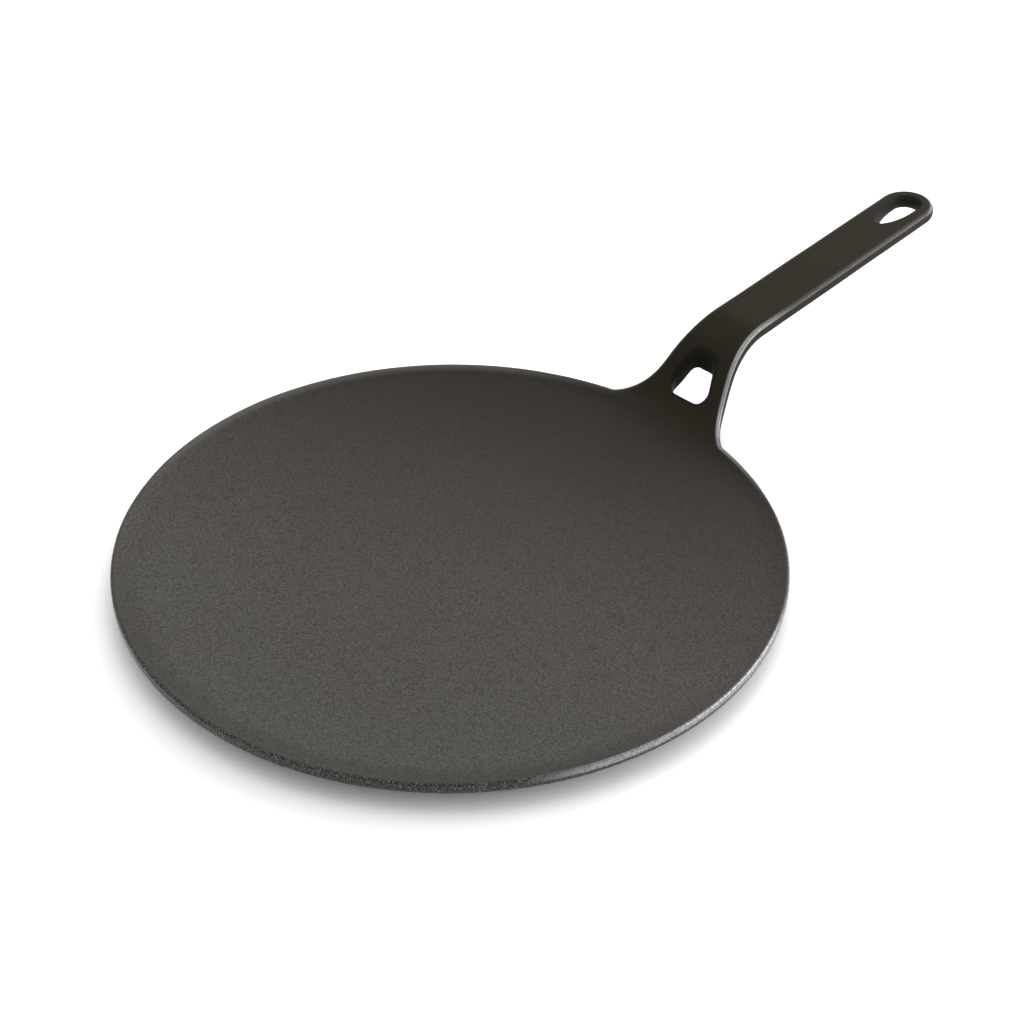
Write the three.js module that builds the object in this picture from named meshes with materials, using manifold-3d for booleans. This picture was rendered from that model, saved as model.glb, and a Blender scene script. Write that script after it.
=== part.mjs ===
// Roti tawa: a shallow dished cast-iron griddle plate with a low lip, and a flat handle that climbs from
// the rim through a windowed neck to a long grip with a hanging eye.
// Millimetres, +Z up. The origin is the centre of the plate's underside and the handle runs along +X.
import * as THREE from "three";
import { mergeVertices } from "three/addons/utils/BufferGeometryUtils.js";
import Module from "manifold-3d";

const wasm = await Module();
wasm.setup();

// Plate
const PLATE_RADIUS = 130;
const BASE_RADIUS = 62; // flat part of the underside
const FLOOR_RADIUS = 60; // flat middle of the cooking face
const FLOOR_THICKNESS = 4.8;
const DISH_SLOPE = 10; // degrees, where the dish meets the lip
const LIP_WIDTH = 8;
const LIP_SLOPE = 30; // degrees, where the lip meets the edge
const EDGE_HEIGHT = 5.6; // crest down to the underside at the edge
const CREST_ROUNDING = 0.8;
const FOOT_ROUNDING = 1.8; // lower corner of the edge
const PLATE_SIDES = 112;

// Handle from the side
const HANDLE_LENGTH = 170.9; // rim to tip
const NECK_RADIUS = 41; // hollow sweep from the lip up to the ramp
const RAMP_SLOPE = 54.5; // degrees
const RAMP_LENGTH = 5;
const BEND_RADIUS = 35; // top of the bend between ramp and grip
const GRIP_SLOPE = 4.8; // degrees
const HANDLE_THICKNESS = 6.3;
const HANDLE_ROUNDING = 2.7;

// Handle from above
const GRIP_WIDTH = 25.4;
const ROOT_SPREAD = 13.8; // degrees of rim on each side of the handle's middle
const FLARE_LENGTH = 42.8; // rim to the place where the grip's sides run straight
const FLARE_HOLD_RIM = 1.8; // how far the flare keeps the rim's direction
const FLARE_HOLD_GRIP = 35.5; // how far the flare keeps the grip's direction

// Window through the neck
const WINDOW_SETBACK = 7.2; // rim to the near side
const WINDOW_LENGTH = 12.4;
const WINDOW_NEAR_WIDTH = 17.6;
const WINDOW_FAR_WIDTH = 12.6;
const WINDOW_CORNER = 3.6;
const WINDOW_ROUNDING = 2.4;

// Hanging eye near the tip: round at the end, full at the shoulder, narrow towards the plate
const EYE_END_WALL = 7.2; // tip to the round end of the eye
const EYE_RADIUS = 5.2;
const EYE_SHOULDER_RADIUS = 4.4;
const EYE_SHOULDER_OFFSET = 11; // round end's centre to the shoulder's
const EYE_POINT_RADIUS = 0.8;
const EYE_POINT_OFFSET = 19; // round end's centre to the narrow end's
const EYE_ROUNDING = 2.6;

// Between the two members of the casting
const SPLIT_GAP = 0.3;
const CUT_MARGIN = 3; // how far a cutting form runs past the metal

// Fineness of the curves
const ARC_STEPS = 2;
const FLARE_STEPS = 24;
const GRIP_STEPS = 20;
const TIP_STEPS = 9;
const ROUNDING_STEPS = 4;
const FLAT_STEPS = 6;
const CORNER_STEPS = 6;

const rad = THREE.MathUtils.degToRad;
const dishAngle = rad(DISH_SLOPE);
const lipAngle = rad(LIP_SLOPE);
const rampAngle = rad(RAMP_SLOPE);
const gripAngle = rad(GRIP_SLOPE);
const lipR = PLATE_RADIUS - LIP_WIDTH;
const dishArc = (lipR - FLOOR_RADIUS) / Math.sin(dishAngle);
const lipArc = LIP_WIDTH / (Math.sin(lipAngle) - Math.sin(dishAngle));
const lipZ = FLOOR_THICKNESS + dishArc * (1 - Math.cos(dishAngle));
const crestZ = lipZ + lipArc * (Math.cos(dishAngle) - Math.cos(lipAngle));
const footZ = crestZ - EDGE_HEIGHT;
const undersideAngle = 2 * Math.atan2(footZ, PLATE_RADIUS - BASE_RADIUS);
const underArc = (PLATE_RADIUS - BASE_RADIUS) / Math.sin(undersideAngle);
const tipRadius = GRIP_WIDTH / 2;
const tipCentreX = PLATE_RADIUS + HANDLE_LENGTH - tipRadius;

// A side profile is a chain of tangent arcs and straight runs. Each step holds the slope at its end,
// and either an arc's radius or a straight run's length.
function sideProfile(x, z, slope, steps) {
  const runs = [{ x: -Infinity, z, slope, from: x, radius: Infinity }];
  for (const step of steps) {
    const turn = Math.sign(step.slope - slope);
    runs.push({ x, z, slope, from: x, radius: step.radius ? turn * step.radius : Infinity });
    if (step.radius) {
      x += step.radius * Math.abs(Math.sin(step.slope) - Math.sin(slope));
      z += step.radius * Math.abs(Math.cos(step.slope) - Math.cos(slope));
    } else {
      x += step.length * Math.cos(slope);
      z += step.length * Math.sin(slope);
    }
    slope = step.slope;
  }
  runs.push({ x, z, slope, from: x, radius: Infinity });
  return runs;
}

function heightAt(runs, x) {
  const run = runs.findLast((r) => r.x <= x);
  if (!Number.isFinite(run.radius)) {
    return run.z + (x - run.from) * Math.tan(run.slope);
  }
  const slope = Math.asin(Math.sin(run.slope) + (x - run.x) / run.radius);
  return run.z + run.radius * (Math.cos(run.slope) - Math.cos(slope));
}

// The top carries the lip's slope on, sweeps up to the ramp and bends over to the grip.
const topRuns = sideProfile(PLATE_RADIUS, crestZ, lipAngle, [
  { slope: rampAngle, radius: NECK_RADIUS },
  { slope: rampAngle, length: RAMP_LENGTH },
  { slope: gripAngle, radius: BEND_RADIUS },
]);

// The underside leaves the foot of the plate's edge and runs one thickness below the bend and the grip.
// The radius of its sweep follows from those two ends.
const bend = topRuns[3];
const underDX = bend.x + HANDLE_THICKNESS * Math.sin(rampAngle) - PLATE_RADIUS;
const underDZ = bend.z - HANDLE_THICKNESS * Math.cos(rampAngle) - footZ;
const sweepDX = Math.sin(rampAngle) - Math.sin(undersideAngle);
const sweepDZ = Math.cos(undersideAngle) - Math.cos(rampAngle);
const climb = Math.tan(rampAngle);
const underRadius = (underDX * climb - underDZ) / (sweepDX * climb - sweepDZ);
const bottomRuns = sideProfile(PLATE_RADIUS, footZ, undersideAngle, [
  { slope: rampAngle, radius: underRadius },
  { slope: rampAngle, length: (underDX - underRadius * sweepDX) / Math.cos(rampAngle) },
  { slope: gripAngle, radius: BEND_RADIUS - HANDLE_THICKNESS },
]);

// Both faces turn about the plate's centre, so that the handle's root follows the round rim.
const topZ = (x, y) => heightAt(topRuns, Math.hypot(x, y));
const bottomZ = (x, y) => heightAt(bottomRuns, Math.hypot(x, y));

function solidOf(geometry) {
  geometry.deleteAttribute("normal");
  geometry.deleteAttribute("uv");
  const merged = mergeVertices(geometry, 1e-4);
  return new wasm.Manifold(
    new wasm.Mesh({
      numProp: 3,
      vertProperties: new Float32Array(merged.attributes.position.array),
      triVerts: new Uint32Array(merged.index.array),
    }),
  );
}

function geometryOf(solid) {
  const mesh = solid.getMesh();
  const geometry = new THREE.BufferGeometry();
  geometry.setAttribute("position", new THREE.BufferAttribute(mesh.vertProperties, 3));
  geometry.setIndex(new THREE.BufferAttribute(mesh.triVerts, 1));
  geometry.computeVertexNormals();
  return geometry;
}

// Closed skin over a row of rings that have the same number of points. Each ring runs anticlockwise
// when seen from the last one, and facing gives the two directions in which the end rings are filled.
function loft(rings, facing) {
  const count = rings[0].length;
  const last = (rings.length - 1) * count;
  const index = [];
  for (let start = 0; start < last; start += count) {
    for (let j = 0; j < count; j += 1) {
      const a = start + j;
      const b = start + ((j + 1) % count);
      index.push(a, b, b + count, a, b + count, a + count);
    }
  }
  const fill = (ring) => THREE.ShapeUtils.triangulateShape(ring.map(facing), []);
  fill(rings[0]).forEach(([a, b, c]) => index.push(c, b, a));
  fill(rings.at(-1)).forEach(([a, b, c]) => index.push(last + a, last + b, last + c));
  const geometry = new THREE.BufferGeometry().setFromPoints(rings.flat());
  geometry.setIndex(index);
  return geometry;
}

// Half a section turned about the axis: along the base, round the edge and back over lip, dish and floor.
function plate() {
  const footR = PLATE_RADIUS - FOOT_ROUNDING;
  const footCentreZ = underArc - Math.sqrt((underArc - FOOT_ROUNDING) ** 2 - (footR - BASE_RADIUS) ** 2);
  const footAngle = Math.atan2(footCentreZ - underArc, footR - BASE_RADIUS);
  const lipCentreR = lipR - lipArc * Math.sin(dishAngle);
  const lipCentreZ = lipZ + lipArc * Math.cos(dishAngle);
  const crestR = PLATE_RADIUS - CREST_ROUNDING;
  const crestCentreZ = lipCentreZ - Math.sqrt((lipArc + CREST_ROUNDING) ** 2 - (crestR - lipCentreR) ** 2);
  const crestAngle = Math.atan2(crestCentreZ - lipCentreZ, crestR - lipCentreR);

  const down = -Math.PI / 2;
  const section = new THREE.Path();
  section.lineTo(BASE_RADIUS, 0);
  section.absarc(BASE_RADIUS, underArc, underArc, down, footAngle, false);
  section.absarc(footR, footCentreZ, FOOT_ROUNDING, footAngle, 0, false);
  section.absarc(crestR, crestCentreZ, CREST_ROUNDING, 0, crestAngle + Math.PI, false);
  section.absarc(lipCentreR, lipCentreZ, lipArc, crestAngle, down + dishAngle, true);
  section.absarc(FLOOR_RADIUS, FLOOR_THICKNESS + dishArc, dishArc, down + dishAngle, down, true);
  section.lineTo(0, FLOOR_THICKNESS);
  return new THREE.LatheGeometry(section.getPoints(ARC_STEPS), PLATE_SIDES).rotateX(Math.PI / 2);
}

// Half-widths of the handle along its length: the flare off the rim, the grip and the round tip.
function handleStations() {
  const spread = rad(ROOT_SPREAD);
  const rimPoint = new THREE.Vector2(Math.cos(spread), Math.sin(spread)).multiplyScalar(PLATE_RADIUS);
  const rimDirection = new THREE.Vector2(Math.sin(spread), -Math.cos(spread));
  const gripPoint = new THREE.Vector2(PLATE_RADIUS + FLARE_LENGTH, tipRadius);
  const flare = new THREE.CubicBezierCurve(
    rimPoint,
    rimPoint.clone().addScaledVector(rimDirection, FLARE_HOLD_RIM),
    new THREE.Vector2(gripPoint.x - FLARE_HOLD_GRIP, gripPoint.y),
    gripPoint,
  );
  const stations = flare.getPoints(FLARE_STEPS);
  const grip = new THREE.LineCurve(gripPoint, new THREE.Vector2(tipCentreX, tipRadius));
  stations.push(...grip.getPoints(GRIP_STEPS).slice(1));
  for (let i = 1; i <= TIP_STEPS; i += 1) {
    const turn = ((i / (TIP_STEPS + 0.2)) * Math.PI) / 2;
    stations.push(new THREE.Vector2(tipCentreX + tipRadius * Math.sin(turn), tipRadius * Math.cos(turn)));
  }
  return stations;
}

// One ring around the handle, with its edges rounded off by their distance from the outline.
function handleRing(station) {
  const half = station.y;
  const squeeze = Math.min(1, half / tipRadius);
  const side = [];
  for (let i = 0; i <= ROUNDING_STEPS; i += 1) {
    const turn = ((i / ROUNDING_STEPS) * Math.PI) / 2;
    side.push(half - HANDLE_ROUNDING * (1 - Math.cos(turn)) * squeeze);
  }
  const flat = [];
  for (let i = 1; i < FLAT_STEPS; i += 1) {
    flat.push(side.at(-1) * (1 - (2 * i) / FLAT_STEPS));
  }
  const across = [...side, ...flat, ...side.map((y) => -y).reverse()];
  const point = (y, up) => {
    const top = topZ(station.x, y);
    const bottom = bottomZ(station.x, y);
    const nearTip = station.x > tipCentreX;
    const inside = nearTip ? tipRadius - Math.hypot(station.x - tipCentreX, y) : half - Math.abs(y);
    const short = HANDLE_ROUNDING - THREE.MathUtils.clamp(inside, 0, HANDLE_ROUNDING);
    const drop = HANDLE_ROUNDING - Math.sqrt(HANDLE_ROUNDING ** 2 - short ** 2);
    const steep = (top - bottom) / HANDLE_THICKNESS;
    return new THREE.Vector3(station.x, y, up ? top - drop * steep : bottom + drop * steep);
  };
  return [...across.map((y) => point(y, true)), ...across.map((y) => point(y, false)).reverse()];
}

// Outline drawn tight around a ring of discs, each grown by the same amount.
function outlineAround(discs, grow) {
  const leave = discs.map((disc, i) => {
    const next = discs[(i + 1) % discs.length];
    const apart = Math.hypot(next.x - disc.x, next.y - disc.y);
    return Math.atan2(next.y - disc.y, next.x - disc.x) - Math.acos((disc.r - next.r) / apart);
  });
  return discs.flatMap((disc, i) => {
    const start = leave.at(i - 1);
    const sweep = THREE.MathUtils.euclideanModulo(leave[i] - start, 2 * Math.PI);
    const arc = new THREE.EllipseCurve(disc.x, disc.y, disc.r + grow, disc.r + grow, start, start + sweep);
    return arc.getPoints(CORNER_STEPS);
  });
}

// Upright opening through the handle whose mouth is rounded where it breaks each face.
function openingThrough(discs, rounding) {
  const level = (grow, heightOf) =>
    outlineAround(discs, grow).map((p) => new THREE.Vector3(p.x, p.y, heightOf(p.x, p.y)));
  const mouth = [0, 25, 50, 75].map((turn) => ({
    grow: rounding * (1 - Math.cos(rad(turn))),
    depth: rounding * (1 - Math.sin(rad(turn))),
  }));
  const widest = mouth.at(-1).grow;
  const rings = [
    level(widest, (x, y) => bottomZ(x, y) - CUT_MARGIN),
    ...mouth.toReversed().map((m) => level(m.grow, (x, y) => bottomZ(x, y) + m.depth)),
    ...mouth.map((m) => level(m.grow, (x, y) => topZ(x, y) - m.depth)),
    level(widest, (x, y) => topZ(x, y) + CUT_MARGIN),
  ];
  return solidOf(loft(rings, (p) => new THREE.Vector2(p.x, p.y)));
}

function handle() {
  const body = solidOf(loft(handleStations().map(handleRing), (p) => new THREE.Vector2(p.y, p.z)));

  const nearX = PLATE_RADIUS + WINDOW_SETBACK + WINDOW_CORNER;
  const farX = PLATE_RADIUS + WINDOW_SETBACK + WINDOW_LENGTH - WINDOW_CORNER;
  const nearY = WINDOW_NEAR_WIDTH / 2 - WINDOW_CORNER;
  const farY = WINDOW_FAR_WIDTH / 2 - WINDOW_CORNER;
  const neckWindow = openingThrough(
    [
      { x: nearX, y: -nearY, r: WINDOW_CORNER },
      { x: farX, y: -farY, r: WINDOW_CORNER },
      { x: farX, y: farY, r: WINDOW_CORNER },
      { x: nearX, y: nearY, r: WINDOW_CORNER },
    ],
    WINDOW_ROUNDING,
  );

  const eyeX = PLATE_RADIUS + HANDLE_LENGTH - EYE_END_WALL - EYE_RADIUS;
  const shoulder = { x: eyeX - EYE_SHOULDER_OFFSET, y: 0, r: EYE_SHOULDER_RADIUS };
  const eye = openingThrough(
    [
      { x: eyeX - EYE_POINT_OFFSET, y: 0, r: EYE_POINT_RADIUS },
      shoulder,
      { x: eyeX, y: 0, r: EYE_RADIUS },
      shoulder,
    ],
    EYE_ROUNDING,
  );

  const reach = crestZ + CUT_MARGIN;
  const rimSize = PLATE_RADIUS + SPLIT_GAP;
  const rim = new THREE.CylinderGeometry(rimSize, rimSize, 2 * reach, PLATE_SIDES).rotateX(Math.PI / 2);
  return geometryOf(body.subtract(neckWindow).subtract(eye).subtract(solidOf(rim)));
}

const tawa = new THREE.Group();
tawa.name = "roti_tawa";

function addNode(name, geometry, material) {
  const mesh = new THREE.Mesh(geometry, material);
  mesh.name = name;
  tawa.add(mesh);
}

const seasonedIron = { roughness: 0.55, metalness: 0.35 };
addNode("griddle_plate", plate(), new THREE.MeshStandardMaterial({ ...seasonedIron, color: 0x3a3733 }));
addNode("handle", handle(), new THREE.MeshStandardMaterial({ ...seasonedIron, color: 0x34312d }));

export default tawa;
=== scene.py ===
# Roti tawa: one iron casting, a shallow dished griddle plate whose rim runs out into a windowed handle.
# Metres, +Z up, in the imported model's frame: the plate's centre is the origin and the handle runs along +X.
import math
from typing import NamedTuple

import bpy
import numpy as np
from mathutils import Matrix, Vector
from mathutils.geometry import delaunay_2d_cdt


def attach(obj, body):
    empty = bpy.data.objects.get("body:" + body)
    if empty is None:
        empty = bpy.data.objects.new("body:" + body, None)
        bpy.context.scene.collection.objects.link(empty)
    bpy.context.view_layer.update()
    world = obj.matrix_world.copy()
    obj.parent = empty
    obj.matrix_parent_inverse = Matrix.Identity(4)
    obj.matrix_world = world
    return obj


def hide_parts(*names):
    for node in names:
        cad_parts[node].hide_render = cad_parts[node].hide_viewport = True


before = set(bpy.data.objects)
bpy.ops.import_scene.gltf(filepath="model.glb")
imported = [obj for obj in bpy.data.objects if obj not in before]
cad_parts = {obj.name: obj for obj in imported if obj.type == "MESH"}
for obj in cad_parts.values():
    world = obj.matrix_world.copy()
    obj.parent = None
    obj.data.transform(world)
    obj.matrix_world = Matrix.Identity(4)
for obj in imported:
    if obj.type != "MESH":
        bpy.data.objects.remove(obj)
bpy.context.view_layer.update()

MM = 0.001
IN_PLAN = (1.0, 1.0, 0.0)  # takes the height out of a place

# Plate, in millimetres and degrees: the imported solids' sizes, but with a softer crest
PLATE_RADIUS = 130.0
BASE_RADIUS = 62.0
FLOOR_RADIUS = 60.0
FLOOR_THICKNESS = 4.8
DISH_SLOPE = 10.0
LIP_WIDTH = 8.0
LIP_SLOPE = 30.0
EDGE_HEIGHT = 5.6
CREST_ROUNDING = 1.8
FOOT_ROUNDING = 1.8

# Handle
HANDLE_LENGTH = 170.9
NECK_RADIUS = 41.0
RAMP_SLOPE = 54.5
RAMP_LENGTH = 5.0
BEND_RADIUS = 35.0
GRIP_SLOPE = 4.8
HANDLE_THICKNESS = 6.3
HANDLE_ROUNDING = 2.7
GRIP_WIDTH = 25.4
ROOT_SPREAD = 13.8
FLARE_LENGTH = 42.8
FLARE_HOLD_RIM = 1.8
FLARE_HOLD_GRIP = 35.5

# Distance from the flare's corner over which the rim's roundings grow to the handle's
SWELL_START = 1.0
SWELL_END = 16.0

# Window through the neck
WINDOW_SETBACK = 7.2
WINDOW_LENGTH = 12.4
WINDOW_NEAR_WIDTH = 17.6
WINDOW_FAR_WIDTH = 12.6
WINDOW_CORNER = 3.6
WINDOW_ROUNDING = 2.4

# Hanging eye: discs shrink from the round end to the point, at these shares of the way
EYE_END_WALL = 7.2
EYE_RADIUS = 5.2
EYE_TAPER = 2.5
EYE_POINT_RADIUS = 0.8
EYE_POINT_OFFSET = 19.0
EYE_ROUNDING = 2.6
EYE_DISC_SHARES = (1.0, 0.88, 0.76, 0.64, 0.52, 0.4, 0.25)

# Slight unevenness of a sand casting
UNEVENNESS_DEPTH = 0.35
UNEVENNESS_SIZE = 26.0
UNEVENNESS_DETAIL = 3.0
UNEVENNESS_ROUGHNESS = 0.55
UNEVENNESS_SEED = 11

# Fineness of the skin: distances between points, then numbers of steps
RIM_STEP = 1.7
PLATE_STEP = 2.2
NECK_STEP = 1.4
GRIP_EDGE_STEP = 2.0
TIP_STEP = 1.2
MOUTH_STEP = 0.9
GRIP_ROW_STEP = 1.6
GRIP_POINT_STEP = 1.8
FLARE_STEPS = 44
ROUNDING_STEPS = 8
BORDER_STEPS = 4
WALL_STEPS = 4

# Widths of the borders of fine rings inside each outline
RIM_BORDER = 4.2
HANDLE_BORDER = 3.4
WINDOW_BORDER = 2.6
EYE_BORDER = 2.8
BORDER_GROWTH = 1.4  # power by which the rings past the rounding spread out

# Filling between the borders
OUTLINE_CLEARANCE = 0.9
MOUTH_CLEARANCE = 0.7
FINE_MARGIN = 4.0  # the finer circles start this far before the lip and run this far past the flare
RING_SPACING = 0.87  # from one circle to the next, in steps along it
RING_TURN = 0.37  # from one circle's first point to the next one's, in radians
FAR_FROM_EDGE = 1000.0  # inset of points that lie in no border
PLAN_TOLERANCE = 1e-6

TIP_RADIUS = GRIP_WIDTH / 2
TIP_CENTRE = PLATE_RADIUS + HANDLE_LENGTH - TIP_RADIUS
FINE_START = PLATE_RADIUS - LIP_WIDTH - FINE_MARGIN
NECK_REACH = PLATE_RADIUS + FLARE_LENGTH + FINE_MARGIN


# Side profiles: each face's height depends only on its distance from the plate's centre.

# Places in the upper profile of its knots at the rim and at the bend's start
RIM_KNOT = 2
BEND_KNOT = 4


class Knot(NamedTuple):
    """Where one run of a side profile meets the next."""
    reach: float
    height: float
    slope: float


def follow(start, steps):
    """Knots along a chain of tangent arcs and straight runs, each given as (end slope, arc, length)."""
    reach, height, slope = start
    knots = [start]
    for end_slope, arc, length in steps:
        if arc:
            reach += arc * abs(math.sin(end_slope) - math.sin(slope))
            height += arc * abs(math.cos(end_slope) - math.cos(slope))
        else:
            reach += length * math.cos(slope)
            height += length * math.sin(slope)
        slope = end_slope
        knots.append(Knot(reach, height, slope))
    return knots


def upper_profile():
    """Floor, dish, lip, neck, ramp, bend and grip."""
    dish, lip, ramp, grip = (math.radians(a) for a in (DISH_SLOPE, LIP_SLOPE, RAMP_SLOPE, GRIP_SLOPE))
    lip_start = PLATE_RADIUS - LIP_WIDTH
    dish_arc = (lip_start - FLOOR_RADIUS) / math.sin(dish)
    lip_arc = LIP_WIDTH / (math.sin(lip) - math.sin(dish))
    return follow(Knot(FLOOR_RADIUS, FLOOR_THICKNESS, 0.0), [
        (dish, dish_arc, 0),
        (lip, lip_arc, 0),
        (ramp, NECK_RADIUS, 0),
        (ramp, 0, RAMP_LENGTH),
        (grip, BEND_RADIUS, 0),
        (grip, 0, HANDLE_LENGTH),
    ])


def under_profile():
    """Base, curved underside and a sweep up to the ramp, which lies one thickness below the upper face."""
    upper = upper_profile()
    rim, bend = upper[RIM_KNOT], upper[BEND_KNOT]
    ramp, grip = math.radians(RAMP_SLOPE), math.radians(GRIP_SLOPE)
    foot = rim.height - EDGE_HEIGHT
    edge = 2 * math.atan2(foot, PLATE_RADIUS - BASE_RADIUS)
    under_arc = (PLATE_RADIUS - BASE_RADIUS) / math.sin(edge)
    run = bend.reach + HANDLE_THICKNESS * math.sin(ramp) - PLATE_RADIUS
    rise = bend.height - HANDLE_THICKNESS * math.cos(ramp) - foot
    sweep_run = math.sin(ramp) - math.sin(edge)
    sweep_rise = math.cos(edge) - math.cos(ramp)
    climb = math.tan(ramp)
    sweep = (run * climb - rise) / (sweep_run * climb - sweep_rise)
    return follow(Knot(BASE_RADIUS, 0.0, 0.0), [
        (edge, under_arc, 0),
        (ramp, sweep, 0),
        (ramp, 0, (run - sweep * sweep_run) / math.cos(ramp)),
        (grip, BEND_RADIUS - HANDLE_THICKNESS, 0),
        (grip, 0, HANDLE_LENGTH),
    ])


# Plan: outlines as seen from above, each with the metal on its left.

class Outline(NamedTuple):
    """Closed line in plan, with the roundings of its two edges and the width of its border at each point."""
    points: np.ndarray
    crest: np.ndarray
    foot: np.ndarray
    border: np.ndarray
    opening: bool


def spaced(start, end, step):
    count = max(2, int(round(abs(end - start) / step)))
    return np.linspace(start, end, count, endpoint=False)


def smooth(low, high, value):
    t = np.clip((value - low) / (high - low), 0, 1)
    return t * t * (3 - 2 * t)


def bezier(p0, p1, p2, p3, count):
    t = np.linspace(0, 1, count, endpoint=False)[:, None]
    return (1 - t) ** 3 * p0 + 3 * (1 - t) ** 2 * t * p1 + 3 * (1 - t) * t ** 2 * p2 + t ** 3 * p3


def flare_line():
    """Right side of the flare, from its corner on the rim to the grip."""
    spread = math.radians(ROOT_SPREAD)
    corner = PLATE_RADIUS * np.array([math.cos(spread), -math.sin(spread)])
    along_rim = np.array([math.sin(spread), math.cos(spread)])
    grip = np.array([PLATE_RADIUS + FLARE_LENGTH, -TIP_RADIUS])
    return bezier(corner, corner + FLARE_HOLD_RIM * along_rim, grip - [FLARE_HOLD_GRIP, 0], grip, FLARE_STEPS)


def casting_outline():
    """Rim, flare, grip and tip, and back along the mirrored grip and flare."""
    spread = math.radians(ROOT_SPREAD)
    rim_turn = spaced(spread, 2 * math.pi - spread, RIM_STEP / PLATE_RADIUS)
    rim = PLATE_RADIUS * np.column_stack([np.cos(rim_turn), np.sin(rim_turn)])
    flare = flare_line()
    run = spaced(PLATE_RADIUS + FLARE_LENGTH, TIP_CENTRE, GRIP_EDGE_STEP)
    side = np.column_stack([run, np.full(len(run), -TIP_RADIUS)])
    tip_turn = spaced(-math.pi / 2, math.pi / 2, TIP_STEP / TIP_RADIUS)
    tip = np.column_stack([TIP_CENTRE + TIP_RADIUS * np.cos(tip_turn), TIP_RADIUS * np.sin(tip_turn)])
    back = np.vstack([flare, side, [[TIP_CENTRE, -TIP_RADIUS]]])[::-1] * [1, -1]
    points = np.vstack([rim, flare, side, tip, back[:-1]])
    corner = flare[0]
    away = np.hypot(points[:, 0] - corner[0], np.abs(points[:, 1]) - abs(corner[1]))
    away[:len(rim)] = 0.0
    swell = smooth(SWELL_START, SWELL_END, away)
    return Outline(
        points,
        crest=CREST_ROUNDING + (HANDLE_ROUNDING - CREST_ROUNDING) * swell,
        foot=FOOT_ROUNDING + (HANDLE_ROUNDING - FOOT_ROUNDING) * swell,
        border=RIM_BORDER + (HANDLE_BORDER - RIM_BORDER) * swell,
        opening=False,
    )


def around_discs(discs, step):
    """Outline drawn tight around a ring of discs (x, y, radius), clockwise: the metal is on its left."""
    leave = []
    for (x, y, r), (nx, ny, nr) in zip(discs, discs[1:] + discs[:1]):
        leave.append(math.atan2(ny - y, nx - x) - math.acos((r - nr) / math.hypot(nx - x, ny - y)))
    corners = []
    for i, (x, y, r) in enumerate(discs):
        start = leave[i - 1]
        sweep = (leave[i] - start) % (2 * math.pi)
        turn = np.linspace(start, start + sweep, max(3, int(r * sweep / step) + 2))
        corners.append(np.column_stack([x + r * np.cos(turn), y + r * np.sin(turn)]))
    points = []
    for corner, following in zip(corners, corners[1:] + corners[:1]):
        points.append(corner)
        gap = following[0] - corner[-1]
        count = int(np.hypot(*gap) / step)
        points.append(corner[-1] + gap * (np.arange(1, count) / max(count, 1))[:, None])
    return np.vstack(points)[::-1]


def opening_outline(discs, rounding, border):
    points = around_discs(discs, MOUTH_STEP)
    roundings = np.full(len(points), rounding)
    return Outline(points, roundings, roundings, np.full(len(points), border), opening=True)


def window_outline():
    near = PLATE_RADIUS + WINDOW_SETBACK + WINDOW_CORNER
    far = PLATE_RADIUS + WINDOW_SETBACK + WINDOW_LENGTH - WINDOW_CORNER
    near_y = WINDOW_NEAR_WIDTH / 2 - WINDOW_CORNER
    far_y = WINDOW_FAR_WIDTH / 2 - WINDOW_CORNER
    places = [(near, -near_y), (far, -far_y), (far, far_y), (near, near_y)]
    return opening_outline([(x, y, WINDOW_CORNER) for x, y in places], WINDOW_ROUNDING, WINDOW_BORDER)


def eye_outline():
    end = PLATE_RADIUS + HANDLE_LENGTH - EYE_END_WALL - EYE_RADIUS
    taper = []
    for share in EYE_DISC_SHARES:
        radius = EYE_RADIUS - (EYE_RADIUS - EYE_POINT_RADIUS) * share ** EYE_TAPER
        taper.append((end - share * EYE_POINT_OFFSET, 0.0, radius))
    round_end = [(end, 0.0, EYE_RADIUS)]
    return opening_outline(taper + round_end + taper[:0:-1], EYE_ROUNDING, EYE_BORDER)


def inside(loop, points):
    """True where a point lies inside a closed outline."""
    hit = np.zeros(len(points), bool)
    x, y = points[:, 0], points[:, 1]
    for (ax, ay), (bx, by) in zip(loop, np.roll(loop, -1, axis=0)):
        if ay != by:
            crosses = (ay > y) != (by > y)
            hit ^= crosses & (x < ax + (y - ay) * (bx - ax) / (by - ay))
    return hit


def nearest(points, loop):
    """Distance from each point to the nearest point of an outline."""
    best = np.full(len(points), np.inf)
    for p in loop:
        best = np.minimum(best, np.hypot(points[:, 0] - p[0], points[:, 1] - p[1]))
    return best


def filling_points(outer, holes):
    """Points on circles about the plate's centre, then rows across the grip, clear of every border."""
    found = []
    radius = 0.0
    turned = 0.0
    while radius < NECK_REACH:
        step = NECK_STEP if radius > FINE_START else PLATE_STEP
        count = max(1, int(round(2 * math.pi * radius / step)))
        turn = turned + 2 * math.pi * np.arange(count) / count
        found.append(radius * np.column_stack([np.cos(turn), np.sin(turn)]))
        radius += step * RING_SPACING
        turned += RING_TURN
    rows = np.arange(NECK_REACH, PLATE_RADIUS + HANDLE_LENGTH, GRIP_ROW_STEP)
    for i, x in enumerate(rows):
        stagger = GRIP_POINT_STEP / 2 * (i % 2)
        across = np.arange(-TIP_RADIUS + stagger, TIP_RADIUS, GRIP_POINT_STEP)
        found.append(np.column_stack([np.full(len(across), x), across]))
    points = np.vstack(found)
    points = points[inside(outer, points) & (nearest(points, outer) > OUTLINE_CLEARANCE)]
    for hole in holes:
        points = points[~inside(hole, points) & (nearest(points, hole) > MOUTH_CLEARANCE)]
    return points


# Flat skin: an upper and a lower sheet on one plan, joined along every outline.

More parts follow.
